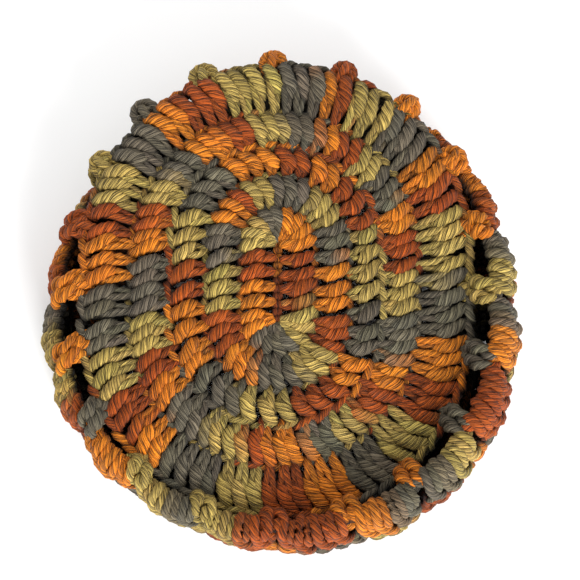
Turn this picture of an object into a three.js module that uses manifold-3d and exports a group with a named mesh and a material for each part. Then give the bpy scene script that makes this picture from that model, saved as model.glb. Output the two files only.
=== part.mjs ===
// A crocheted beanie that lies crown up on a table: an oval crown of five rounds, an
// openwork round of V stitches and a chain, a round of shells worked over that chain,
// and a puffed side wall that folds under to the brim. The openwork hangs down at the
// back left and is turned up at the front right.
// Units are millimetres, +Z is up, and the table is at height 0.
import * as THREE from "three";
import { mergeVertices } from "three/addons/utils/BufferGeometryUtils.js";
import Module from "manifold-3d";

const FABRIC = 3.4; // thickness of the worsted crochet fabric
const SHELL_FABRIC = 4.8; // the packed shells are thicker
const SEAM = 0.4; // gap between neighbouring rounds
const JOINS = 20; // V stitches that carry the chain, one to every fourth stitch
const CORNERS = 48; // corners round the crown and the brim
const LACE_CORNERS = 4 * JOINS; // corners round the scalloped rounds
const CHAIN_RADIUS = 2.3; // the chain between the V stitches
const LEG_RADIUS = 1.9; // one leg of a V stitch
const LEG_ROOT = 2.0; // how far each leg stands from its V's middle at the crown
const LEG_SPREAD = 5.2; // and at the chain
const LEG_BULGE = 3.0; // how far a leg bows out of the fabric
const LEG_CLEARANCE = 1.4; // from the crown's edge to the end of a leg's middle line
const LEG_SHORT = 1.0; // from the end of a leg's middle line to the chain's middle
const SHELL_GAP = 0.7; // between the chain and the shells, wider as they meet at a bend
const BRIM_GAP = 0.9; // between the last round's edge and the brim, at the fold
const BRIM_FLAT = 0.6; // the share of the brim's width that lies flat on the table

// One row for each edge between two rounds, from the crown's middle to the brim.
// wide and straight are half the oval's width and half its straight side, x and y its
// centre, high its height, and tip its rise towards the back left per 100 mm. back,
// backRight, frontRight and frontLeft push the edge out on that side, and the three
// sinks lower it there. scallop swells the edge between two V stitches.
const ROUNDS = [
  { name: "foundation_chain", wide: 3.0, straight: 17.5, x: 0.0, y: 0.0, high: 40.0, tip: 6,
    back: 0, backRight: 0, frontRight: 0, frontLeft: 0,
    sinkBack: 0, sinkBackRight: 0, sinkFrontRight: 0, scallop: 0 },
  { name: "crown_round_1", wide: 16.2, straight: 17.0, x: 0.0, y: 0.5, high: 40.4, tip: 6,
    back: 0, backRight: 0, frontRight: 0, frontLeft: 0,
    sinkBack: 0, sinkBackRight: 0, sinkFrontRight: 0, scallop: 0 },
  { name: "crown_round_2", wide: 31.5, straight: 16.5, x: 0.0, y: 0.0, high: 40.5, tip: 6,
    back: 0, backRight: 0, frontRight: 0, frontLeft: 0,
    sinkBack: 0, sinkBackRight: 0, sinkFrontRight: 0, scallop: 0 },
  { name: "crown_round_3", wide: 46.2, straight: 15.5, x: -1.0, y: -1.0, high: 40.4, tip: 6,
    back: 0, backRight: 0.5, frontRight: 0, frontLeft: 0.5,
    sinkBack: 0, sinkBackRight: 0, sinkFrontRight: 0, scallop: 0 },
  { name: "crown_round_4", wide: 62.8, straight: 15.0, x: -2.0, y: -2.0, high: 40.0, tip: 6,
    back: 0, backRight: 2, frontRight: 1, frontLeft: 1,
    sinkBack: 0, sinkBackRight: 0, sinkFrontRight: 1.5, scallop: 0 },
  { name: "crown_round_5", wide: 82.5, straight: 14.7, x: -2.3, y: -1.5, high: 38.4, tip: 6,
    back: 0, backRight: 5.5, frontRight: 5, frontLeft: 1.5,
    sinkBack: 0, sinkBackRight: 0, sinkFrontRight: 3.5, scallop: 0 },
  { name: "lace_mesh", wide: 98.5, straight: 8.0, x: -1.5, y: -6.0, high: 38.5, tip: -5,
    back: -13, backRight: -1, frontRight: 1, frontLeft: -4,
    sinkBack: 5, sinkBackRight: 9, sinkFrontRight: 0, scallop: 2.2 },
  { name: "lace_shells", wide: 102.5, straight: 6.0, x: -0.5, y: -7.7, high: 25.5, tip: -4,
    back: -16.5, backRight: 0, frontRight: 4, frontLeft: -6.5,
    sinkBack: 7, sinkBackRight: 8, sinkFrontRight: 0, scallop: 2.5 },
  { name: "side_round_1", wide: 100.0, straight: 8.0, x: -0.5, y: -7.5, high: 11.0, tip: -1.5,
    back: -15, backRight: 0, frontRight: 4, frontLeft: -6.5,
    sinkBack: 4, sinkBackRight: 3.5, sinkFrontRight: 0, scallop: 0.8 },
  { name: "side_round_2", wide: 90.0, straight: 10.0, x: 1.5, y: -7.0, high: 3.6, tip: 0,
    back: -7, backRight: 0, frontRight: 2, frontLeft: -3,
    sinkBack: 1.2, sinkBackRight: 0.8, sinkFrontRight: 0, scallop: 0 },
  { name: "brim_band", wide: 79.0, straight: 11.0, x: 1.5, y: -7.0, high: 1.7, tip: 0,
    back: -3, backRight: 0, frontRight: 1, frontLeft: -1,
    sinkBack: 0, sinkBackRight: 0, sinkFrontRight: 0, scallop: 0 },
];
const CROWN_EDGE = 5;
const CHAIN_LINE = 6;
const SHELL_EDGE = 7;
const BRIM_EDGE = ROUNDS.length - 1;

const COLOURS = {
  foundation_chain: 0xb5622a,
  crown_round_1: 0xb4652c,
  crown_round_2: 0x8d8256,
  crown_round_3: 0xb4582a,
  crown_round_4: 0x8a7c50,
  crown_round_5: 0xa3672f,
  lace_mesh: 0x7d7a68,
  lace_shells: 0xa84f26,
  side_round_1: 0x6c685a,
  side_round_2: 0xb5602a,
  brim_band: 0x8f8552,
};

const FULL_TURN = 2 * Math.PI;
const BACK = (115 / 360) * FULL_TURN; // where the openwork hangs down
const BACK_RIGHT = (50 / 360) * FULL_TURN;
const FRONT_RIGHT = (-45 / 360) * FULL_TURN; // where it is turned up
const FRONT_LEFT = (-115 / 360) * FULL_TURN;

// Every column of the table at a place between its rows, on a smooth curve.
function rowAt(place) {
  const last = ROUNDS.length - 1;
  const k = Math.min(Math.floor(place), last - 1);
  const t = place - k;
  const blended = {};
  for (const column of Object.keys(ROUNDS[0])) {
    if (column === "name") continue;
    const before = ROUNDS[Math.max(k - 1, 0)][column];
    const from = ROUNDS[k][column];
    const to = ROUNDS[k + 1][column];
    const after = ROUNDS[Math.min(k + 2, last)][column];
    blended[column] = from
      + 0.5 * (to - before) * t
      + 0.5 * (2 * before - 5 * from + 4 * to - after) * t ** 2
      + 0.5 * (3 * from - before - 3 * to + after) * t ** 3;
  }
  return blended;
}

// The distance from an oval's centre to its edge: half circles on two straight sides.
function ovalReach(wide, straight, angle) {
  const cosine = Math.abs(Math.cos(angle));
  const sine = Math.abs(Math.sin(angle));
  if (wide * sine <= straight * cosine) return wide / cosine;
  return straight * sine + Math.sqrt(wide ** 2 - (straight * cosine) ** 2);
}

// How far an angle faces a side: 1 on it, falling smoothly to 0 a quarter turn away.
const facing = (angle, side) => Math.max(0, Math.cos(angle - side)) ** 2;

// The fabric's middle surface: place counts rounds, angle turns about +Z.
function surface(place, angle) {
  const row = rowAt(place);
  const back = facing(angle, BACK);
  const backRight = facing(angle, BACK_RIGHT);
  const frontRight = facing(angle, FRONT_RIGHT);
  const frontLeft = facing(angle, FRONT_LEFT);
  const reach = ovalReach(row.wide, row.straight, angle)
    + row.back * back + row.backRight * backRight
    + row.frontRight * frontRight + row.frontLeft * frontLeft
    + (row.scallop * (1 - Math.cos(JOINS * angle))) / 2;
  const x = row.x + reach * Math.cos(angle);
  const y = row.y + reach * Math.sin(angle);
  const towardsFront = x * Math.cos(FRONT_RIGHT) + y * Math.sin(FRONT_RIGHT);
  const z = row.high - (row.tip * towardsFront) / 100
    - row.sinkBack * back - row.sinkBackRight * backRight - row.sinkFrontRight * frontRight;
  return new THREE.Vector3(x, y, z);
}

// Unit vectors at a point of the surface: across the rounds, along them, and off the fabric.
function directions(place, angle) {
  const step = 0.02;
  const inner = Math.max(place - step, 0);
  const outer = Math.min(place + step, BRIM_EDGE);
  const across = surface(outer, angle).sub(surface(inner, angle)).normalize();
  const along = surface(place, angle + step).sub(surface(place, angle - step)).normalize();
  const normal = new THREE.Vector3().crossVectors(across, along).normalize();
  return { across, along, normal };
}

// The place at a distance before (negative) or past a row of the table.
function placePast(row, distance, angle) {
  const step = 0.1 * Math.sign(distance);
  const reached = surface(row + step, angle).distanceTo(surface(row, angle));
  return row + (step * Math.abs(distance)) / reached;
}

const offFabric = (place, angle, lift) =>
  surface(place, angle).addScaledVector(directions(place, angle).normal, lift);

const turns = (corners) => Array.from({ length: corners }, (_, i) => (FULL_TURN * i) / corners);

function signedVolume(positions, triangles) {
  const corner = (index) => new THREE.Vector3().fromArray(positions, index * 3);
  let volume = 0;
  for (let i = 0; i < triangles.length; i += 3) {
    const [a, b, c] = triangles.slice(i, i + 3).map(corner);
    volume += a.dot(b.cross(c));
  }
  return volume;
}

// A closed body through sections of equally many points. A looped body joins its last
// section to its first, and any other is capped at both ends.
function skin(sections, looped) {
  const size = sections[0].length;
  const positions = sections.flat().flatMap((point) => [point.x, point.y, point.z]);
  const triangles = [];
  const spans = looped ? sections.length : sections.length - 1;
  for (let i = 0; i < spans; i += 1) {
    const here = i * size;
    const next = ((i + 1) % sections.length) * size;
    for (let k = 0; k < size; k += 1) {
      const m = (k + 1) % size;
      triangles.push(here + k, here + m, next + m, here + k, next + m, next + k);
    }
  }
  if (!looped) {
    const end = (sections.length - 1) * size;
    for (let k = 1; k < size - 1; k += 1) {
      triangles.push(0, k + 1, k, end, end + k, end + k + 1);
    }
  }
  if (signedVolume(positions, triangles) < 0) triangles.reverse();
  return { positions, triangles };
}

function toGeometry({ positions, triangles }) {
  const geometry = new THREE.BufferGeometry();
  geometry.setAttribute("position", new THREE.Float32BufferAttribute(positions, 3));
  geometry.setIndex(triangles);
  return geometry;
}

// A round of fabric that keeps its distance to the row before it and to its own row,
// open in the middle.
function roundBody(round, before, after, thickness, corners, steps) {
  const sections = turns(corners).map((angle) => {
    const from = placePast(round - 1, before, angle);
    const to = placePast(round, -after, angle);
    const upper = [];
    const lower = [];
    for (let j = 0; j <= steps; j += 1) {
      const place = from + ((to - from) * j) / steps;
      upper.push(offFabric(place, angle, thickness / 2));
      lower.unshift(offFabric(place, angle, -thickness / 2));
    }
    return [...upper, ...lower];
  });
  return skin(sections, true);
}

// A plain round, clear of its neighbours by half a seam on each side.
const plainRound = (round, corners, steps) =>
  roundBody(round, SEAM / 2, SEAM / 2, FABRIC, corners, steps);

// The brim is turned under, so the fabric's outer face lies flat on the table.
function brimBody() {
  const middle = BRIM_EDGE - BRIM_FLAT;
  const sections = turns(CORNERS).map((angle) => {
    const start = placePast(BRIM_EDGE - 1, BRIM_GAP, angle);
    return [
      offFabric(start, angle, FABRIC / 2),
      surface(middle, angle).setZ(0),
      surface(BRIM_EDGE, angle).setZ(0),
      surface(BRIM_EDGE, angle).setZ(FABRIC),
      surface(middle, angle).setZ(FABRIC),
      offFabric(start, angle, -FABRIC / 2),
    ];
  });
  return skin(sections, true);
}

// The foundation chain fills the oval hole in the first round.
function chainBody() {
  const sections = [-FABRIC / 2, FABRIC / 2].map((lift) => turns(CORNERS).map((angle) => {
    const { normal, across } = directions(0, angle);
    return surface(0, angle).addScaledVector(across, -SEAM / 2).addScaledVector(normal, lift);
  }));
  return skin(sections, false);
}

// A round tube through points, as a closed ring or with two flat ends.
function tube(points, radius, sides, looped) {
  const count = points.length;
  const up = new THREE.Vector3(0, 0, 1);
  const sections = points.map((point, i) => {
    const before = looped ? points[(i + count - 1) % count] : points[Math.max(i - 1, 0)];
    const after = looped ? points[(i + 1) % count] : points[Math.min(i + 1, count - 1)];
    const along = after.clone().sub(before).normalize();
    const sideways = new THREE.Vector3().crossVectors(along, up).normalize();
    const upwards = new THREE.Vector3().crossVectors(sideways, along);
    return turns(sides).map((turn) => point.clone()
      .addScaledVector(sideways, radius * Math.cos(turn))
      .addScaledVector(upwards, radius * Math.sin(turn)));
  });
  return skin(sections, looped);
}

// One leg of a V stitch: it leaves the crown's edge, bows out and spreads to the chain.
function legPoints(angle, side) {
  const steps = 4;
  const start = placePast(CROWN_EDGE, LEG_CLEARANCE, angle);
  const end = placePast(CHAIN_LINE, -LEG_SHORT, angle);
  const points = [];
  for (let j = 0; j <= steps; j += 1) {
    const t = j / steps;
    const place = start + (end - start) * t;
    const { normal, along } = directions(place, angle);
    const apart = LEG_ROOT + (LEG_SPREAD - LEG_ROOT) * t;
    const bulge = (LEG_BULGE * (1 - Math.cos(FULL_TURN * t))) / 2;
    points.push(surface(place, angle)
      .addScaledVector(along, side * apart)
      .addScaledVector(normal, bulge));
  }
  return points;
}

const wasm = await Module();
wasm.setup();

function toManifold(body) {
  const merged = mergeVertices(toGeometry(body));
  return new wasm.Manifold(new wasm.Mesh({
    numProp: 3,
    vertProperties: new Float32Array(merged.attributes.position.array),
    triVerts: new Uint32Array(merged.index.array),
  }));
}

// The chain ring with its V stitches, joined into one body.
function meshBody() {
  const ring = turns(LACE_CORNERS).map((angle) => surface(CHAIN_LINE, angle));
  let solid = toManifold(tube(ring, CHAIN_RADIUS, 6, true));
  for (const angle of turns(JOINS)) {
    for (const side of [-1, 1]) {
      solid = solid.add(toManifold(tube(legPoints(angle, side), LEG_RADIUS, 5, false)));
    }
  }
  const mesh = solid.getMesh();
  return { positions: Array.from(mesh.vertProperties), triangles: Array.from(mesh.triVerts) };
}

// The shells hang from the chain, clear of it by a seam.
const shellBody = () =>
  roundBody(SHELL_EDGE, CHAIN_RADIUS + SHELL_GAP, SEAM / 2, SHELL_FABRIC, LACE_CORNERS, 2);

const bodies = {
  foundation_chain: chainBody(),
  crown_round_1: plainRound(1, CORNERS, 1),
  crown_round_2: plainRound(2, CORNERS, 1),
  crown_round_3: plainRound(3, CORNERS, 1),
  crown_round_4: plainRound(4, CORNERS, 2),
  crown_round_5: plainRound(5, CORNERS, 2),
  lace_mesh: meshBody(),
  lace_shells: shellBody(),
  side_round_1: plainRound(8, LACE_CORNERS, 2),
  side_round_2: plainRound(9, CORNERS, 3),
  brim_band: brimBody(),
};

const beanie = new THREE.Group();
for (const [name, body] of Object.entries(bodies)) {
  const material = new THREE.MeshStandardMaterial({
    color: COLOURS[name],
    roughness: 0.92,
    metalness: 0,
  });
  const mesh = new THREE.Mesh(toGeometry(body), material);
  mesh.name = name;
  beanie.add(mesh);
}

// The origin is on the table, under the middle of the whole beanie.
const box = new THREE.Box3().setFromObject(beanie);
const centre = box.getCenter(new THREE.Vector3());
beanie.position.set(-centre.x, -centre.y, 0);
beanie.updateMatrixWorld(true);

export default beanie;
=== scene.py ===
"""A crocheted beanie in variegated worsted yarn, lying crown up on a pale table.

Every stitch is modelled from strands of plied yarn. A stitch is a short list of points
in the fabric's own directions: along the round, across it and off its face. These are
laid on the beanie's curved surface, and a twisted tube is swept along each strand.
The surface is worked out in millimetres, and the meshes are made in metres.
"""

import math

import bpy
import numpy as np
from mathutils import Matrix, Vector


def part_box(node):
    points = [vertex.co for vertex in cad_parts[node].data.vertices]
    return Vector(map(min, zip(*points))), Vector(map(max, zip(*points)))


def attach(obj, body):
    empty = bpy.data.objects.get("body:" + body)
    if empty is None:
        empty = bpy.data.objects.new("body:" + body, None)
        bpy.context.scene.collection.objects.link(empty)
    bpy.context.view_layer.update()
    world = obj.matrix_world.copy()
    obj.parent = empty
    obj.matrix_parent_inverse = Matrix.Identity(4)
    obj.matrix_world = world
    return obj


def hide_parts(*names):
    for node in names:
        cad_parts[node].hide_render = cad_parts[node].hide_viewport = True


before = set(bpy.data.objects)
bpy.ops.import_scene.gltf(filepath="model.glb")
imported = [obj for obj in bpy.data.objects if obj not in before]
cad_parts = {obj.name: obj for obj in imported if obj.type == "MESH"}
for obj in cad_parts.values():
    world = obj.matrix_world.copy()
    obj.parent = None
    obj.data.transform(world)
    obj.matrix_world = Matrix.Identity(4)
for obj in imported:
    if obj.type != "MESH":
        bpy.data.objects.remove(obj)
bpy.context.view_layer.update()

MM = 0.001
FULL_TURN = 2 * math.pi
rng = np.random.default_rng(20)

# The beanie's surface. One row for each edge between two rounds, from the crown's middle
# to the brim, in the columns below it: half the oval's width and half its straight side,
# its centre, its height, its rise towards the back left per 100 mm, how far it is pushed
# out at four sides, how far it is lowered at three, and its swell between V stitches.
COLUMNS = (
    "wide", "straight", "x", "y", "high", "tip",
    "back", "back_right", "front_right", "front_left",
    "sink_back", "sink_back_right", "sink_front_right", "scallop",
)
ROUNDS = {
    "foundation_chain": (3.0, 17.5, 0.0, 0.0, 40.0, 6, 0, 0, 0, 0, 0, 0, 0, 0),
    "crown_round_1": (16.2, 17.0, 0.0, 0.5, 40.4, 6, 0, 0, 0, 0, 0, 0, 0, 0),
    "crown_round_2": (31.5, 16.5, 0.0, 0.0, 40.5, 6, 0, 0, 0, 0, 0, 0, 0, 0),
    "crown_round_3": (46.2, 15.5, -1.0, -1.0, 40.4, 6, 0, 0.5, 0, 0.5, 0, 0, 0, 0),
    "crown_round_4": (62.8, 15.0, -2.0, -2.0, 40.0, 6, 0, 2, 1, 1, 0, 0, 1.5, 0),
    "crown_round_5": (82.5, 14.7, -2.3, -1.5, 38.4, 6, 0, 5.5, 5, 1.5, 0, 0, 3.5, 0),
    "lace_mesh": (98.5, 8.0, -1.5, -6.0, 38.5, -5, -13, -1, 1, -4, 5, 9, 0, 2.2),
    "lace_shells": (102.5, 6.0, -0.5, -7.7, 25.5, -4, -16.5, 0, 4, -6.5, 7, 8, 0, 2.5),
    "side_round_1": (100.0, 8.0, -0.5, -7.5, 11.0, -1.5, -15, 0, 4, -6.5, 4, 3.5, 0, 0.8),
    "side_round_2": (90.0, 10.0, 1.5, -7.0, 3.6, 0, -7, 0, 2, -3, 1.2, 0.8, 0, 0),
    "brim_band": (79.0, 11.0, 1.5, -7.0, 1.7, 0, -3, 0, 1, -1, 0, 0, 0, 0),
}
NAMES = list(ROUNDS)
TABLE = np.array(list(ROUNDS.values()), float)
LAST = len(NAMES) - 1
CROWN_EDGE = NAMES.index("crown_round_5")
CHAIN_LINE = NAMES.index("lace_mesh")
SIDES = {"back": 115, "back_right": 50, "front_right": -45, "front_left": -115}
JOINS = 20
INNERMOST = -0.35  # how far the surface goes on inside the first row, in rounds
EDGE_SAMPLES = 721
DIRECTION_STEP = 0.02  # rounds, and radians

# The chain lies under the middle of the crown, so its solid says where the surface is.
chain_low, chain_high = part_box("foundation_chain")
PLACED = np.array([
    (chain_low[0] + chain_high[0]) / 2 / MM,
    (chain_low[1] + chain_high[1]) / 2 / MM,
    0.0,
])

# The yarn. Its plies turn to the left, once in PITCH mm.
YARN = 1.6  # radius in mm
PLIES = 4
PLY_DEPTH = 0.09  # share of the radius
PITCH = 12.0
FACETS = 8
RADIUS_SPREAD = (0.92, 1.08)  # from strand to strand, as shares
PITCH_SPREAD = (0.85, 1.4)
END_SHARE = 0.72  # of the radius, at a strand's two ends
LEAF_POWER = 0.7
TABLE_CLEARANCE = 0.05
UV_LENGTH = 10  # mm of yarn to one unit of UV

# How much the same point varies from stitch to stitch: along the round in stitch widths,
# across it in rounds, and off the fabric in mm.
UNEVENNESS = (0.035, 0.012, 0.24)

# Painted shade: yarn that lies deep between stitches would be in shadow, so its vertex
# colour is painted darker there. The colour rises from dark to full over RISE mm, from DEEP
# outwards on the right side and from BACK inwards on the other.
DEEP = -0.6
BACK = -1.7
RISE = 4.4
DEEP_SHADE = 0.04

# The dyes in the order in which they follow each other on the yarn, as seen colours. A
# dye turns into the next within DYE_BLEND of a stitch. Each strand is a little lighter or
# darker than its dye, within TONE_SPREAD, and tinted a little.
DYES = {
    "grey": (0.39, 0.358, 0.29),
    "olive": (0.67, 0.572, 0.30),
    "rust": (0.60, 0.272, 0.06),
    "orange": (0.80, 0.455, 0.10),
}
LETTERS = {"g": "grey", "o": "olive", "r": "rust", "y": "orange"}
DYE_BLEND = 0.35
TONE_SPREAD = (0.8, 1.15)
TINT = 0.025

# How many stitches each dye colours in each repeat, charted round by round: the
# stitch at which the first repeat starts, counted from the right, then a row for each
# repeat with its grey, olive, rust and orange stitches.
CHARTS = {
    "crown_round_1": (6, [(2.5, 2.9, 2.6, 4.3), (4, 3.7, 3.5, 4.5)]),
    "crown_round_2": (1.2, [
        (3, 2.8, 0, 0), (3.5, 2.3, 1.2, 2), (3.2, 3.8, 3.6, 2.4), (4.3, 2.7, 3.2, 4),
    ]),
    "crown_round_3": (17.3, [
        (4, 3.7, 3.5, 4.5), (4, 4.5, 4.3, 2.7), (3.5, 5.5, 3.9, 2.5), (0, 0, 3.1, 4.3),
    ]),
    "crown_round_4": (5.5, [
        (2.3, 2.2, 1.5, 1.5), (2.7, 2.3, 2.3, 2.1), (2.6, 2.3, 1.4, 2.3), (3.3, 3.2, 2, 1.7),
        (3, 2.7, 1.8, 2.8), (2.5, 2, 2.5, 2.1), (3.4, 2.7, 2.8, 2),
    ]),
    "crown_round_5": (8.5, [
        (3, 2.9, 1.2, 1.4), (3, 3.6, 2.9, 2.3), (3.2, 2.6, 2.1, 3), (4.1, 2.7, 2.8, 2.4),
        (4, 3.1, 3.2, 2.6), (3.4, 3, 2.8, 2.7), (3.8, 4.3, 2.2, 1.7),
    ]),
    "side_round_1": (3, [(3.2, 2.9, 3.0, 2.3)] * 7),
    "side_round_2": (7, [(3.4, 2.8, 2.9, 2.5)] * 7),
    "brim_band": (1, [(3.1, 3.0, 3.1, 2.2)] * 7),
}
STITCHES = {
    "crown_round_1": 26,
    "crown_round_2": 38,
    "crown_round_3": 40,
    "crown_round_4": 72,
    "crown_round_5": 80,
    "side_round_1": 80,
    "side_round_2": 80,
    "brim_band": 80,
}

# The openwork round, from the right and counterclockwise: the dye of each V stitch, and
# the dyes at the two ends of the arch that follows it.
JOIN_DYES = "oyyyryogoryygooryygg"
ARCH_DYES = "og ry ry ro yr oy go og ro yr go or yy og or rr yg go rr yg".split()


def smooth(before, start, end, after, t):
    """A smooth curve from start to end, straight on before its start."""
    ahead = np.maximum(t, 0)
    return (
        start
        + 0.5 * (end - before) * t
        + 0.5 * (2 * before - 5 * start + 4 * end - after) * ahead ** 2
        + 0.5 * (3 * start - before - 3 * end + after) * ahead ** 3
    )


def rows_at(place):
    """Every column of the table at places between its rows, on a smooth curve."""
    place = np.clip(place, INNERMOST, LAST - 1e-6)
    k = np.maximum(np.floor(place).astype(int), 0)
    t = (place - k)[..., None]
    before, start = TABLE[np.maximum(k - 1, 0)], TABLE[k]
    end, after = TABLE[k + 1], TABLE[np.minimum(k + 2, LAST)]
    return smooth(before, start, end, after, t)


def oval_reach(row, cosine, sine):
    """How far an oval with two straight sides reaches from its middle, in mm."""
    on_straight = row["wide"] * abs(sine) <= row["straight"] * abs(cosine)
    round_end = row["straight"] * abs(sine) + np.sqrt(
        np.maximum(row["wide"] ** 2 - (row["straight"] * cosine) ** 2, 0)
    )
    return np.where(on_straight, row["wide"] / np.maximum(abs(cosine), 1e-6), round_end)


def surface(place, angle):
    """Points of the fabric's middle surface. place counts rounds, angle turns about +Z."""
    place, angle = np.broadcast_arrays(place, angle)
    row = dict(zip(COLUMNS, np.moveaxis(rows_at(place), -1, 0)))
    cosine, sine = np.cos(angle), np.sin(angle)
    reach = oval_reach(row, cosine, sine)
    facing = {
        side: np.maximum(0, np.cos(angle - math.radians(degrees))) ** 2
        for side, degrees in SIDES.items()
    }
    for side, share in facing.items():
        reach = reach + row[side] * share
    reach = reach + row["scallop"] * (1 - np.cos(JOINS * angle)) / 2
    x = row["x"] + reach * cosine
    y = row["y"] + reach * sine
    front = math.radians(SIDES["front_right"])
    z = row["high"] - row["tip"] * (x * math.cos(front) + y * math.sin(front)) / 100
    for side in ("back", "back_right", "front_right"):
        z = z - row["sink_" + side] * facing[side]
    return np.stack([x, y, z], axis=-1) + PLACED


def unit(vectors):
    """Vectors made one long."""
    return vectors / np.maximum(np.linalg.norm(vectors, axis=-1, keepdims=True), 1e-9)


def directions(place, angle):
    """Unit vectors across the rounds, along them, and off the fabric's face."""
    step = DIRECTION_STEP
    place = np.clip(place, step, LAST - step)
    across = unit(surface(place + step, angle) - surface(place - step, angle))
    along = unit(surface(place, angle + step) - surface(place, angle - step))
    return across, along, unit(np.cross(across, along))


def angles_along(place, parts):
    """The angles at equal distances along an edge, for parts counted from the right."""
    fine = np.linspace(0, FULL_TURN, EDGE_SAMPLES)
    points = surface(float(place), fine)
    lengths = np.linalg.norm(np.diff(points, axis=0), axis=1)
    run = np.concatenate([[0], np.cumsum(lengths)]) / lengths.sum()
    turns = np.floor(parts)
    return np.interp(parts - turns, run, fine) + turns * FULL_TURN


def across_round(base, part, v):
    """The place and angle at parts of the way round, v of the way across a round.

    Parts are even along the round's outer edge. From there a stitch runs square to the
    oval: level across its straight sides, and towards the middle of its round ends.
    """
    place, part = np.broadcast_arrays(base + v, part)
    outer = angles_along(base + 1, part)
    row = dict(zip(COLUMNS, TABLE[base + 1]))
    cosine, sine = np.cos(outer), np.sin(outer)
    reach = oval_reach(row, cosine, sine)
    x, y = reach * cosine, reach * sine
    end = np.clip(y, -row["straight"], row["straight"])
    here = dict(zip(COLUMNS, np.moveaxis(rows_at(place), -1, 0)))
    wide = here["wide"] / row["wide"]
    straight = here["straight"] / row["straight"]
    angle = np.arctan2(end * straight + (y - end) * wide, x * wide)
    return place, outer + (angle - outer + math.pi) % FULL_TURN - math.pi


def curve(control, count):
    """count points on smooth curves through short lists of control points, (..., n, 3)."""
    control = np.asarray(control, float)
    last = control.shape[-2] - 1
    t = np.linspace(0, last, count)
    k = np.minimum(t.astype(int), last - 1)
    t = (t - k)[:, None]
    before, start = control[..., np.maximum(k - 1, 0), :], control[..., k, :]
    end, after = control[..., k + 1, :], control[..., np.minimum(k + 2, last), :]
    return smooth(before, start, end, after, t)


def uneven(control, count):
    """count copies of a strand's control points, each a little different."""
    control = np.asarray(control, float)
    return control + rng.normal(0, 1, (count,) + control.shape) * UNEVENNESS


def seen(rgb):
    """A seen colour as the linear numbers that a shader works with."""
    rgb = np.asarray(rgb, float)
    return np.where(rgb <= 0.04045, rgb / 12.92, ((rgb + 0.055) / 1.055) ** 2.4)


DYE_ROWS = np.array([seen(colour) for colour in DYES.values()])
DYE_INDEX = {letter: list(DYES).index(name) for letter, name in LETTERS.items()}


def dye_on_round(name, part):
    """The yarn's colour at parts of the way round, from the round's chart."""
    first, repeats = CHARTS[name]
    widths = np.array(repeats, float).ravel()
    ends = np.cumsum(widths)
    position = (part * ends[-1] - first) % ends[-1]
    index = np.searchsorted(ends, position, side="right")
    index = np.minimum(index, len(ends) - 1)
    into = position - (ends[index] - widths[index])
    blend = np.clip(into / DYE_BLEND, 0, 1)[..., None]
    earlier = (index - 1) % len(ends)
    while (widths[earlier] == 0).any():
        earlier = np.where(widths[earlier] == 0, (earlier - 1) % len(ends), earlier)
    dyes = len(DYE_ROWS)
    return DYE_ROWS[earlier % dyes] * (1 - blend) + DYE_ROWS[index % dyes] * blend


# Each end of a strand, as quads between the corners of its ring.
CAP_QUADS = ([0, 1, 2, 3], [0, 3, 4, 7], [4, 5, 6, 7])


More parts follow.
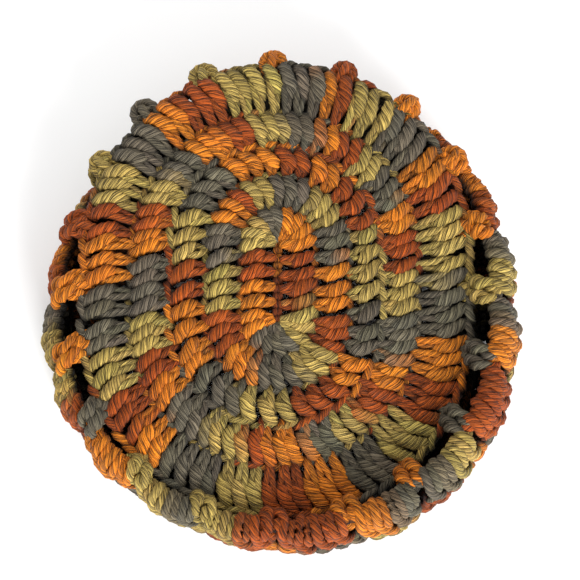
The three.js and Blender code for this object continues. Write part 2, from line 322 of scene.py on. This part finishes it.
class Strands:
    """Collects strands of yarn and turns them into one mesh."""

    def __init__(self):
        self.vertices, self.colours, self.around, self.faces = [], [], [], []
        self.count = 0

    def lay(self, place, angle, lift, colours, radius, leaf=0.0, flat=1.0):
        """Lays strands on the fabric, lifted off it. The arrays are (strands, points)."""
        _, _, normal = directions(place, angle)
        points = surface(place, angle) + normal * lift[..., None]
        self.add(points, normal, lift, colours, radius, leaf, flat)

    def add(self, paths, normals, lift, colours, radius, leaf=0.0, flat=1.0):
        """Sweeps twisted tubes along paths in mm. leaf thins them towards their ends, and
        flat presses them onto the fabric."""
        strands, rings = paths.shape[:2]
        colours = np.broadcast_to(
            colours if colours.ndim == 3 else colours[:, None, :], paths.shape
        )
        tangents = unit(np.gradient(paths, axis=1))
        side = unit(np.cross(tangents[:, 0], rng.normal(size=(strands, 3))))
        sides = [side]
        for i in range(1, rings):
            side = unit(side - (side * tangents[:, i]).sum(-1, keepdims=True) * tangents[:, i])
            sides.append(side)
        sides = np.stack(sides, axis=1)
        ups = np.cross(tangents, sides)
        steps = np.linalg.norm(np.diff(paths, axis=1), axis=-1)
        run = np.concatenate([np.zeros((strands, 1)), np.cumsum(steps, axis=1)], axis=1)
        run = run + rng.uniform(0, PITCH, (strands, 1))
        facet = np.arange(FACETS) * FULL_TURN / FACETS
        radius = radius * rng.uniform(*RADIUS_SPREAD, (strands, 1, 1))
        pitch = PITCH * rng.uniform(*PITCH_SPREAD, (strands, 1, 1))
        turn = facet - run[..., None] * FULL_TURN / pitch
        swell = 1 - leaf + leaf * np.sin(np.linspace(0, math.pi, rings)) ** LEAF_POWER
        swell[[0, -1]] *= END_SHARE
        reach = radius * swell[None, :, None] * (1 + PLY_DEPTH * np.cos(PLIES * facet))
        offset = (
            (reach * np.cos(turn))[..., None] * sides[:, :, None]
            + (reach * np.sin(turn))[..., None] * ups[:, :, None]
        )
        off_face = (offset * normals[:, :, None]).sum(-1, keepdims=True)
        offset = offset - normals[:, :, None] * off_face * (1 - flat)
        ring = paths[:, :, None] + offset
        ring[..., 2] = np.maximum(ring[..., 2], TABLE_CLEARANCE)
        # Painted shade: the colour is darkened by how deep each point lies off the fabric's
        # face, on the right side and on the inner one.
        height = lift[..., None] + (offset * normals[:, :, None]).sum(-1)
        light = np.clip(np.maximum(height - DEEP, BACK - height) / RISE, 0, 1)
        light = DEEP_SHADE + (1 - DEEP_SHADE) * light * light * (3 - 2 * light)
        tone = rng.uniform(*TONE_SPREAD, (strands, 1, 1, 1))
        tone = tone * rng.normal(1, TINT, (strands, 1, 1, 3))
        colours = colours[:, :, None] * tone * light[..., None]
        around = np.stack([
            np.broadcast_to(np.arange(FACETS) / FACETS, ring.shape[:3]),
            np.broadcast_to(run[..., None] / UV_LENGTH, ring.shape[:3]),
        ], axis=-1)
        self.vertices.append(ring.reshape(-1, 3))
        self.colours.append(colours.reshape(-1, 3))
        self.around.append(around.reshape(-1, 2))
        start = self.count + np.arange(strands)[:, None, None] * rings * FACETS
        here = start + np.arange(rings - 1)[None, :, None] * FACETS
        k = np.arange(FACETS)
        m = (k + 1) % FACETS
        quads = np.stack([here + k, here + m, here + FACETS + m, here + FACETS + k], axis=-1)
        self.faces.append(quads.reshape(-1, 4))
        first = start[:, 0] + k[::-1]
        last = start[:, 0] + (rings - 1) * FACETS + k
        for cap in (first, last):
            for corners in CAP_QUADS:
                self.faces.append(cap[:, corners])
        self.count += strands * rings * FACETS

    def build(self, name, node, material):
        """The collected strands as one object that stands for a node."""
        vertices = np.concatenate(self.vertices) * MM
        faces = np.concatenate(self.faces)
        colours = np.concatenate(self.colours)
        around = np.concatenate(self.around)
        mesh = bpy.data.meshes.new(name)
        mesh.vertices.add(len(vertices))
        mesh.vertices.foreach_set("co", vertices.astype(np.float32).ravel())
        mesh.loops.add(faces.size)
        mesh.loops.foreach_set("vertex_index", faces.astype(np.int32).ravel())
        mesh.polygons.add(len(faces))
        mesh.polygons.foreach_set("loop_start", np.arange(0, faces.size, 4, dtype=np.int32))
        mesh.update(calc_edges=True)
        mesh.shade_smooth()
        # The vertex colour holds the dyes, each strand's tone and the painted shade between
        # stitches.
        dye_and_painted_shade = mesh.color_attributes.new("dye_and_painted_shade", "FLOAT_COLOR", "POINT")
        rgba = np.concatenate([colours, np.ones((len(colours), 1))], axis=1)
        dye_and_painted_shade.data.foreach_set("color", rgba.astype(np.float32).ravel())
        uv = mesh.uv_layers.new(name="yarn")
        corners = around[faces]
        wraps = (corners[..., 0].max(axis=1) - corners[..., 0].min(axis=1)) > 0.5
        low = (corners[..., 0] < 0.5) & wraps[:, None]
        corners[..., 0] = np.where(low, corners[..., 0] + 1, corners[..., 0])
        uv.data.foreach_set("uv", corners.astype(np.float32).ravel())
        mesh.materials.append(material)
        piece = bpy.data.objects.new(name, mesh)
        bpy.context.scene.collection.objects.link(piece)
        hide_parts(node)
        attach(piece, "root")
        return piece


# The yarn's surface: how deep the ridges round a strand are, for each number of them, how
# far they wander in radians, and how deep the fibres are. Each noise has its scale round
# and along the strand and its detail. DEPTH_SHADES and WISP_SHADES have two values of the
# depth and of the wisps, and the shares of the vertex colour that these two turn into. The
# depth's shares are painted light and shade: painted shade in the grooves between plies and
# threads, and painted highlights on the ridges and fibres. The wisps' shares are a random
# mottle of tone.
RIDGE_DEPTHS = {PLIES: 0.8, PLIES * 2: 0.9, PLIES * 4: 0.8}
WANDER = 2.5
FIBRE_DEPTH = 1.2
FIBRE_NOISE = (30, 3.0, 3)
FIBRE_RANGE = (0.34, 0.66)
WISP_NOISE = (5, 2.0, 2)
DEPTH_SHADES = (0.8, 3.0, 0.08, 1.7)
WISP_SHADES = (0.3, 0.7, 0.8, 1.15)
FINISH = {
    "Roughness": 0.62, "Sheen Weight": 0.03, "Sheen Roughness": 0.5, "Specular IOR Level": 0.2,
}
BUMP_STRENGTH = 0.8
BUMP_HEIGHT = 0.0005  # metres


def yarn_material():
    """Plied yarn: dyes and painted shade from its vertex colour, painted shade in the grooves
    between its plies and threads, painted highlights on their ridges, and fine fibres.
    """
    material = bpy.data.materials.new("variegated_yarn")
    material.use_nodes = True
    nodes, links = material.node_tree.nodes, material.node_tree.links
    shader = nodes["Principled BSDF"]
    for socket, value in FINISH.items():
        shader.inputs[socket].default_value = value
    # The vertex colour: the dyes with the painted shade between stitches.
    dye_and_painted_shade = nodes.new("ShaderNodeAttribute")
    dye_and_painted_shade.attribute_name = "dye_and_painted_shade"
    place = nodes.new("ShaderNodeUVMap")
    place.uv_map = "yarn"
    split = nodes.new("ShaderNodeSeparateXYZ")
    links.new(place.outputs["UV"], split.inputs["Vector"])

    def math_node(operation, first, second):
        node = nodes.new("ShaderNodeMath")
        node.operation = operation
        for socket, value in zip(node.inputs, (first, second)):
            if isinstance(value, (int, float)):
                socket.default_value = value
            elif value is not None:
                links.new(value, socket)
        return node.outputs["Value"]

    def noise(scale_around, scale_along, detail):
        stretch = nodes.new("ShaderNodeMapping")
        stretch.inputs["Scale"].default_value = (scale_around, scale_along, 1)
        texture = nodes.new("ShaderNodeTexNoise")
        texture.inputs["Scale"].default_value = 1
        texture.inputs["Detail"].default_value = detail
        links.new(place.outputs["UV"], stretch.inputs["Vector"])
        links.new(stretch.outputs["Vector"], texture.inputs["Vector"])
        return texture.outputs["Fac"]

    def ranged(value, low, high, to_low, to_high):
        node = nodes.new("ShaderNodeMapRange")
        limits = {"From Min": low, "From Max": high, "To Min": to_low, "To Max": to_high}
        for socket, limit in limits.items():
            node.inputs[socket].default_value = limit
        links.new(value, node.inputs["Value"])
        return node.outputs["Result"]

    fibres = ranged(noise(*FIBRE_NOISE), *FIBRE_RANGE, 0, 1)
    wisps = noise(*WISP_NOISE)

    def ridges(count, depth):
        turn = math_node("MULTIPLY_ADD", split.outputs["X"], FULL_TURN * count)
        links.new(math_node("MULTIPLY", wisps, WANDER), turn.node.inputs[2])
        return ranged(math_node("COSINE", turn, None), -1, 1, 0, depth)

    plies, half_plies, threads = (ridges(*row) for row in RIDGE_DEPTHS.items())
    height = math_node("MULTIPLY_ADD", fibres, FIBRE_DEPTH)
    twisted = math_node("ADD", math_node("ADD", plies, half_plies), threads)
    links.new(twisted, height.node.inputs[2])
    # Painted shade in the grooves and painted highlights on the ridges and fibres, from the
    # relief's depth; the wisps add a random mottle of tone.
    shade = ranged(height, *DEPTH_SHADES)
    mottle = ranged(wisps, *WISP_SHADES)
    tone = math_node("MULTIPLY", shade, mottle)
    scale = nodes.new("ShaderNodeVectorMath")
    scale.operation = "SCALE"
    links.new(dye_and_painted_shade.outputs["Color"], scale.inputs[0])
    links.new(tone, scale.inputs["Scale"])
    links.new(scale.outputs["Vector"], shader.inputs["Base Color"])
    bump = nodes.new("ShaderNodeBump")
    bump.inputs["Strength"].default_value = BUMP_STRENGTH
    bump.inputs["Distance"].default_value = BUMP_HEIGHT
    links.new(height, bump.inputs["Height"])
    links.new(bump.outputs["Normal"], shader.inputs["Normal"])
    return material


# A double crochet, seen from its face: a fat leaf over two posts, with two more behind.
# Each strand's points are the distance along the round from the stitch's middle in stitch
# widths, the share of the way across the round, and the height off the fabric's middle in
# mm. The edge's filling closes the gaps under the loops along the stitches' tops.
# The back posts and the edge's filling lie deep, so the painted shade turns them dark behind
# the gaps between stitches.
OUTER_LEAF = [
    (0.46, 1.00, -1.4), (0.44, 0.94, 0.8), (0.24, 0.82, 2.0), (-0.06, 0.66, 2.4),
    (-0.32, 0.51, 1.9), (-0.44, 0.39, 0.5), (-0.44, 0.29, -1.2),
]
LEFT_POST = [
    (-0.12, -0.14, -1.6), (-0.08, -0.02, 0.4), (0.02, 0.16, 1.5), (0.14, 0.34, 1.8),
    (0.28, 0.52, 1.3), (0.40, 0.70, 0.2), (0.42, 0.82, -1.0),
]
RIGHT_POST = [
    (-0.14, -0.14, -1.6), (-0.22, -0.02, 0.1), (-0.32, 0.14, 1.1), (-0.34, 0.30, 1.0),
    (-0.30, 0.46, -0.6),
]
BACK_POST = [
    (0.24, -0.04, -1.4), (0.24, 0.30, -1.7), (0.24, 0.65, -1.7), (0.24, 1.02, -1.4),
]
OTHER_BACK_POST = [(-aside, v, lift) for aside, v, lift in BACK_POST]
TOP_LOOP = [
    (0.66, 0.94, -1.2), (0.50, 0.99, 0.6), (0.14, 1.05, 1.6), (-0.26, 1.11, 1.4),
    (-0.52, 1.14, 0.0), (-0.60, 1.12, -1.4),
]
LOW_LOOP = [
    (0.62, 0.96, -1.6), (0.46, 1.00, -0.2), (0.10, 1.03, 0.5), (-0.28, 1.06, 0.2),
    (-0.56, 1.04, -1.6),
]
EDGE_FILL = [(-0.62, 1.03, -1.8), (0.0, 1.07, -1.5), (0.62, 1.03, -1.8)]
# Each strand's points, rings, radius, thinning towards its ends and flatness.
DOUBLE_CROCHET = [
    (OUTER_LEAF, 18, YARN * 1.9, 0.33, 0.72), (LEFT_POST, 16, YARN * 1.02, 0.1, 1),
    (RIGHT_POST, 11, YARN * 0.95, 0.1, 1), (BACK_POST, 4, YARN * 1.3, 0, 0.6),
    (OTHER_BACK_POST, 4, YARN * 1.3, 0, 0.6), (EDGE_FILL, 5, YARN * 1.2, 0, 0.8),
]
# The same for the loop along the stitch's top.
TOP_STRAND = (12, YARN * 1.15, 0.3, 0.9)
# The first three strands lie aslant, less so on the crown.
SLANTING = 3
SLANTS = {
    "crown_round_1": 0.65, "crown_round_2": 0.7, "crown_round_3": 0.8, "crown_round_4": 0.88,
    "crown_round_5": 0.85,
}
# The rounds whose top loops show, and the one whose stitches share their roots in pairs.
OPEN_EDGES = ("crown_round_3", "crown_round_5", "side_round_1", "brim_band")
PAIRED = ("crown_round_4",)
PAIR_SHIFT = 0.22
# The first round's stitches start further in, over the chain, and higher by FIRST_RISE mm.
FIRST_INWARD = 0.14
FIRST_INWARD_UNTIL = 0.4
FIRST_RISE = 1.6
FIRST_RISE_UNTIL = 0.3
# How much whole stitches vary: aside and leaning in stitch widths, and off the face in mm.
STITCH_SHIFT = 0.05
STITCH_LEAN = 0.07
STITCH_PUFF = 0.28
# The dye moves on by this much from strand to strand and along each, in stitches.
DYE_STEP = 0.08
DYE_RUN = 0.3


def round_of_stitches(strands, name, base):
    """Works one round of double crochet between two rows of the table."""
    count = STITCHES[name]
    number = np.arange(count)[:, None]
    shift = rng.normal(0, STITCH_SHIFT, (count, 1))
    lean = rng.normal(0, STITCH_LEAN, (count, 1))
    puff = rng.normal(0, STITCH_PUFF, (count, 1))
    pairing = np.where(number % 2, -PAIR_SHIFT, PAIR_SHIFT) * (name in PAIRED)
    loop = TOP_LOOP if name in OPEN_EDGES else LOW_LOOP
    for order, (control, rings, radius, leaf, flat) in enumerate(
        DOUBLE_CROCHET + [(loop, *TOP_STRAND)]
    ):
        along, v, lift = np.moveaxis(curve(uneven(control, count), rings), -1, 0)
        if order < SLANTING:
            along = along * SLANTS.get(name, 1)
        along = along + shift + lean * v + pairing * (1 - np.clip(v, 0, 1)) ** 2
        lift = lift + puff
        if base == 0:
            v = v - FIRST_INWARD * np.clip(1 - v / FIRST_INWARD_UNTIL, 0, 1)
            lift = lift + FIRST_RISE * np.clip(1 - v / FIRST_RISE_UNTIL, 0, 1)
        place, angle = across_round(base, (number + 0.5 + along) / count, v)
        drift = DYE_STEP * order - DYE_RUN + DYE_RUN * np.linspace(0, 1, rings)[None, :]
        colours = dye_on_round(name, (number + 0.5 + drift) / count)
        strands.lay(place, angle, lift, colours, radius, leaf, flat)


def plain_round(name, material):
    """One round of double crochet as an object."""
    strands = Strands()
    round_of_stitches(strands, name, NAMES.index(name) - 1)
    return strands.build("yarn_" + name, name, material)


# Half a link of the chain in the crown's middle: along it in links, then mm aside and up.
# LINK_DYES says how many links each dye colours, from the front.
HALF_LINK = [(-0.55, 0.2, -1.4), (-0.2, 1.0, 0.5), (0.25, 0.9, 0.6), (0.6, 0.1, -1.4)]
LINK_DYES = {"r": 6, "y": 5}
LINK_RINGS = 9
LINK_RADIUS = YARN * 0.8


def foundation(material):
    """The short chain in the crown's middle, nearly hidden by the first round."""
    strands = Strands()
    links = sum(LINK_DYES.values())
    half = TABLE[0, COLUMNS.index("straight")]
    middle = np.linspace(-half, half, links)
    local = curve(HALF_LINK, LINK_RINGS)
    dyes = DYE_ROWS[[DYE_INDEX[letter] for letter in LINK_DYES]]
    colours = np.repeat(dyes, list(LINK_DYES.values()), axis=0)
    for side in (-1, 1):
        x = side * local[None, :, 1] + 0 * middle[:, None]
        y = middle[:, None] + local[None, :, 0] * 2 * half / links
        z = surface(np.zeros_like(y), np.full_like(y, math.pi / 2))[..., 2]
        lift = local[None, :, 2] + 0 * y
        points = np.stack([x + PLACED[0], y + PLACED[1], z + lift], axis=-1)
        upward = np.broadcast_to(np.array([0, 0, 1.0]), points.shape)
        strands.add(points, upward, lift, colours, LINK_RADIUS)
    return strands.build("yarn_foundation_chain", "foundation_chain", material)


# An arch's first dye turns into its second between these shares of its length.
ARCH_BLEND = (0.35, 0.65)


def mixed(letters, share):
    """The colour part of the way from the colour of one letter in LETTERS to that of another.
    """
    first, last = (DYE_ROWS[DYE_INDEX[letter]] for letter in letters)
    low, high = ARCH_BLEND
    share = np.clip((np.asarray(share, float)[..., None] - low) / (high - low), 0, 1)
    return first * (1 - share) + last * share


# The chain of the openwork: two strands twisted round each other. The sizes are in mm, and
# DRAWN_IN, which closes the openwork at the front left, is in rounds.
ROPE_TURNS = 3.6  # in one arch
ROPE_TURN_STEP = 0.7  # radians from arch to arch
ROPE_REACH = 1.5
ROPE_LIFT = 0.6
# ROPE_SHADE_LIFT, in mm, is added to the rope's height for the painted shade only, so it is
# darkened less.
ROPE_SHADE_LIFT = 1.0
ROPE_RINGS = 44
ROPE_RADIUS = YARN * 1.15
ROPE_OVERLAP = 0.04  # arches
CLOSED_SIDE = math.radians(-115)
DRAWN_IN = 0.4


def drawn_in(angle):
    """How far the chain is drawn towards the crown at the front left, in rounds."""
    return DRAWN_IN * np.clip(np.cos(angle - CLOSED_SIDE), 0, 1) ** 3


def rope(strands):
    """The chain between the V stitches, as two strands twisted round each other."""
    t = np.linspace(0, 1, ROPE_RINGS)
    arch = np.arange(JOINS)[:, None]
    angle = (arch - ROPE_OVERLAP + (1 + 2 * ROPE_OVERLAP) * t) / JOINS * FULL_TURN
    place = CHAIN_LINE - drawn_in(angle)
    across, _, normal = directions(place, angle)
    middle = surface(place, angle)
    colours = np.stack([mixed(letters, t) for letters in ARCH_DYES])
    for strand in (0, 1):
        twist = -FULL_TURN * ROPE_TURNS * t + math.pi * strand + ROPE_TURN_STEP * arch
        lift = ROPE_LIFT + ROPE_REACH * np.sin(twist)
        aside = ROPE_REACH * np.cos(twist)
        points = middle + across * aside[..., None] + normal * lift[..., None]
        strands.add(points, normal, lift + ROPE_SHADE_LIFT, colours, ROPE_RADIUS)


# A V stitch's legs, in mm: half their distance at the root and at the top, how far the two
# strands of a leg lie from its middle, and how far they bow off the face and dive at last
# under the shells.
LEG_ROOT = 1.8
LEG_SPREAD = 3.8
LEG_REACH = 1.7
LEG_LIFT = 1.4
LEG_BOW = 3.6
LEG_DIVE = 2.8
LEG_TURNS = 1.5
LEG_RINGS = 26
LEG_RADIUS = YARN * 1.2
LEG_START = 0.02  # rounds past the crown's edge
LEG_EXCESS = 0.08  # rounds

# The knot that stands out from the crown's edge at each V stitch: a loop and the strand
# that it catches. The points are mm along the edge, outwards, and up off the crown.
KNOT_LOOP = [
    (-3.0, -2.5, -0.6), (-4.5, 2.4, 0.8), (-3.5, 6.8, 1.7), (0.0, 8.8, 2.0),
    (3.5, 6.8, 1.6), (4.4, 2.4, 0.6), (3.0, -2.5, -0.8),
]
KNOT_MIDDLE = [
    (0.8, -3.0, -0.4), (0.5, 0.8, 2.4), (0.0, 4.6, 3.0), (-0.4, 8.2, 1.6), (-0.4, 9.8, -1.4),
]
KNOT = ((KNOT_LOOP, YARN * 1.45), (KNOT_MIDDLE, YARN * 1.4))
KNOT_RINGS = 20
KNOT_SIZES = (0.95, 1.2)
KNOT_INWARD = 0.05  # rounds
# KNOT_SHADE_LIFT, in mm, is added to the knots' height for the painted shade only, so they are
# darkened less.
KNOT_SHADE_LIFT = 1.5
KNOT_THINNING = 0.2


def join_strands(strands):
    """The V stitches: two legs of two strands each, and the knot at the crown's edge."""
    angles = np.arange(JOINS) * FULL_TURN / JOINS
    colours = np.array([DYE_ROWS[DYE_INDEX[letter]] for letter in JOIN_DYES])
    t = np.linspace(0, 1, LEG_RINGS)
    place = CROWN_EDGE + LEG_START + (CHAIN_LINE - CROWN_EDGE + LEG_EXCESS) * t
    grid_place, grid_angle = np.broadcast_arrays(place[None, :], angles[:, None])
    _, along, normal = directions(grid_place, grid_angle)
    middle = surface(grid_place, grid_angle)
    bulge = LEG_BOW * np.sin(math.pi * t) ** 1.2 + LEG_LIFT - LEG_DIVE * t ** 5
    for leg in (-1, 1):
        apart = leg * (LEG_ROOT + (LEG_SPREAD - LEG_ROOT) * t)
        for strand in (0, 1):
            twist = -FULL_TURN * LEG_TURNS * t + math.pi * strand + leg
            sideways = apart + LEG_REACH * np.cos(twist)
            off = (bulge + LEG_REACH * np.sin(twist))[None, :] + 0 * grid_angle
            points = middle + along * sideways[None, :, None] + normal * off[..., None]
            strands.add(points, normal, off, colours, LEG_RADIUS)
    edge = np.full_like(angles, CROWN_EDGE - KNOT_INWARD)
    outward, along, normal = directions(edge, angles)
    centre = surface(edge, angles)
    for shape, radius in KNOT:
        local = curve(shape, KNOT_RINGS)
        size = rng.uniform(*KNOT_SIZES, (JOINS, 1))
        points = (
            centre[:, None]
            + along[:, None] * (size * local[None, :, 0])[..., None]
            + outward[:, None] * (size * local[None, :, 1])[..., None]
            + normal[:, None] * (size * local[None, :, 2])[..., None]
        )
        normals = np.broadcast_to(normal[:, None], points.shape)
        lift = local[None, :, 2] + KNOT_SHADE_LIFT + 0 * size
        strands.add(points, normals, lift, colours, radius, KNOT_THINNING)


def lace_mesh(material):
    """The openwork round: the chain and the V stitches that carry it."""
    strands = Strands()
    rope(strands)
    join_strands(strands)
    return strands.build("yarn_lace_mesh", "lace_mesh", material)


# A shell stitch starts inside the chain, goes over it and down the outside.
SHELL_LEFT = [
    (0.00, -0.26, -2.2), (-0.06, -0.27, 1.0), (-0.10, -0.14, 4.0), (-0.16, 0.04, 4.6),
    (-0.24, 0.24, 3.2), (-0.24, 0.44, 2.2), (-0.06, 0.66, 2.5), (0.26, 0.88, 1.6),
    (0.38, 1.02, -0.4),
]
SHELL_RIGHT = [
    (0.34, -0.22, -2.0), (0.36, -0.22, 1.2), (0.34, -0.10, 3.8), (0.28, 0.06, 4.3),
    (0.24, 0.26, 3.0), (0.20, 0.46, 1.8), (0.12, 0.62, 0.6), (-0.16, 0.82, 1.2),
    (-0.38, 1.02, -0.6),
]
SHELL_BACK = [
    (0.04, -0.16, -3.2), (0.02, 0.10, -3.2), (-0.02, 0.40, -2.2), (0.02, 0.70, -1.9),
    (0.02, 0.98, -1.3),
]
# Each strand's points, rings, radius and thinning towards its ends.
SHELL_STITCH = [
    (SHELL_LEFT, 24, YARN * 1.5, 0.1), (SHELL_RIGHT, 24, YARN * 1.3, 0.1),
    (SHELL_BACK, 8, YARN * 1.4, 0), (LOW_LOOP, 12, YARN * 1.1, 0.3),
]
SHELLS_IN_ARCH = 4
GATHERED = 0.84  # share of the arch that its shells fill
SHELL_FLATNESS = 0.9
SHELL_PUFF = 0.3  # mm
SHELL_LEAN = 0.12  # stitch widths
# The shells lie fat over the chain at the right, and close under it elsewhere. Fatness
# goes from THIN to 1, and is less at the ends of each arch. A thin shell loses FLATTENED
# of its rise over the chain, and starts at THIN_START of its way inwards.
FAT_SIDE = math.radians(-25)
FAT_SPREAD = 0.55
THIN = 0.25
END_POWER = 0.4
FLATTENED = 0.9
OVER_CHAIN = 0.5  # rounds
THIN_START = 0.35


def lace_shells(material):
    """Four stitches over each arch of the chain, gathered between the V stitches."""
    strands = Strands()
    count = JOINS * SHELLS_IN_ARCH
    number = np.arange(count)
    arch = number // SHELLS_IN_ARCH
    share = (number % SHELLS_IN_ARCH + 0.5) / SHELLS_IN_ARCH
    gathered = 0.5 + (share - 0.5) * GATHERED
    middle = (arch + gathered) / JOINS
    colours = np.array([mixed(ARCH_DYES[a], s) for a, s in zip(arch, share)])
    facing = np.cos(middle * FULL_TURN - FAT_SIDE)
    fat = THIN + (1 - THIN) * np.clip(FAT_SPREAD + facing, 0, 1)
    fat = (fat * np.sin(math.pi * share) ** END_POWER)[:, None]
    puff = rng.normal(0, SHELL_PUFF, (count, 1))
    lean = rng.normal(0, SHELL_LEAN, (count, 1))
    for control, rings, radius, leaf in SHELL_STITCH:
        along, v, rise = np.moveaxis(curve(uneven(control, count), rings), -1, 0)
        part = middle[:, None] + (along + lean * v) / count
        over = np.clip(1 - v / OVER_CHAIN, 0, 1) * np.clip(rise, 0, None)
        lift = rise + puff - over * (1 - fat) * FLATTENED
        v = np.where(v < 0, v * (THIN_START + (1 - THIN_START) * fat), v)
        angle = part * FULL_TURN
        place = CHAIN_LINE + v - drawn_in(angle) * np.clip(1 - v, 0, 1)
        strands.lay(place, angle, lift, colours, radius, leaf, SHELL_FLATNESS)
    return strands.build("yarn_lace_shells", "lace_shells", material)


# The table's width in metres, and each light's place and width in metres and its watts.
FLOOR_SIZE = 16
FLOOR_COLOUR = (0.93, 0.93, 0.93, 1)
LAMPS = {
    "key": ((0.80, -1.80, 0.95), 1.0, 75),
    "fill": ((-0.1, 0.5, 0.6), 0.6, 3),
}
SKY_STRENGTH = 0.7


def floor_and_lights():
    """A plain pale table, one large soft light at the front right and a fill."""
    bpy.ops.mesh.primitive_plane_add(size=FLOOR_SIZE, location=(0, 0, 0))
    floor = bpy.context.object
    floor.name = "floor"
    pale = bpy.data.materials.new("pale_floor")
    pale.use_nodes = True
    shader = pale.node_tree.nodes["Principled BSDF"]
    shader.inputs["Base Color"].default_value = FLOOR_COLOUR
    shader.inputs["Roughness"].default_value = 0.9
    floor.data.materials.append(pale)
    for name, (location, size, power) in LAMPS.items():
        light = bpy.data.lights.new(name, "AREA")
        light.size = size
        light.energy = power
        lamp = bpy.data.objects.new(name, light)
        lamp.location = location
        lamp.rotation_euler = (-Vector(location)).to_track_quat("-Z", "Y").to_euler()
        bpy.context.scene.collection.objects.link(lamp)
    world = bpy.data.worlds.new("studio")
    world.use_nodes = True
    sky = world.node_tree.nodes["Background"]
    sky.inputs["Color"].default_value = (1, 1, 1, 1)
    sky.inputs["Strength"].default_value = SKY_STRENGTH
    bpy.context.scene.world = world
    bpy.context.scene.view_settings.view_transform = "Standard"


# The photograph's frame: how high the camera looks down from, how far it is, how much
# one pixel of the crown is, and the pixel that the crown's middle falls on.
CAMERA_ELEVATION = math.radians(78)
CAMERA_DISTANCE = 750.0
MM_PER_PIXEL = 0.444
IMAGE_PIXELS = 580
CROWN_PIXEL = (277.5, 281.0)
CROWN_HEIGHT = 42.0


def camera():
    """The camera at the photograph's angle, above the table and towards its front."""
    aside = (IMAGE_PIXELS / 2 - CROWN_PIXEL[0]) * MM_PER_PIXEL
    down = (IMAGE_PIXELS / 2 - CROWN_PIXEL[1]) * MM_PER_PIXEL
    aim = Vector((PLACED[0] + aside, PLACED[1] - down, CROWN_HEIGHT)) * MM
    back = Vector((0, -math.cos(CAMERA_ELEVATION), math.sin(CAMERA_ELEVATION)))
    data = bpy.data.cameras.new("camera")
    data.sensor_width = 36
    focal_pixels = CAMERA_DISTANCE / MM_PER_PIXEL
    data.lens = focal_pixels * data.sensor_width / IMAGE_PIXELS
    eye = bpy.data.objects.new("camera", data)
    eye.location = aim + back * CAMERA_DISTANCE * MM
    eye.rotation_euler = (-back).to_track_quat("-Z", "Y").to_euler()
    bpy.context.scene.collection.objects.link(eye)
    bpy.context.scene.camera = eye


camera()
floor_and_lights()
yarn = yarn_material()
foundation(yarn)
for round_name in STITCHES:
    plain_round(round_name, yarn)
lace_mesh(yarn)
lace_shells(yarn)
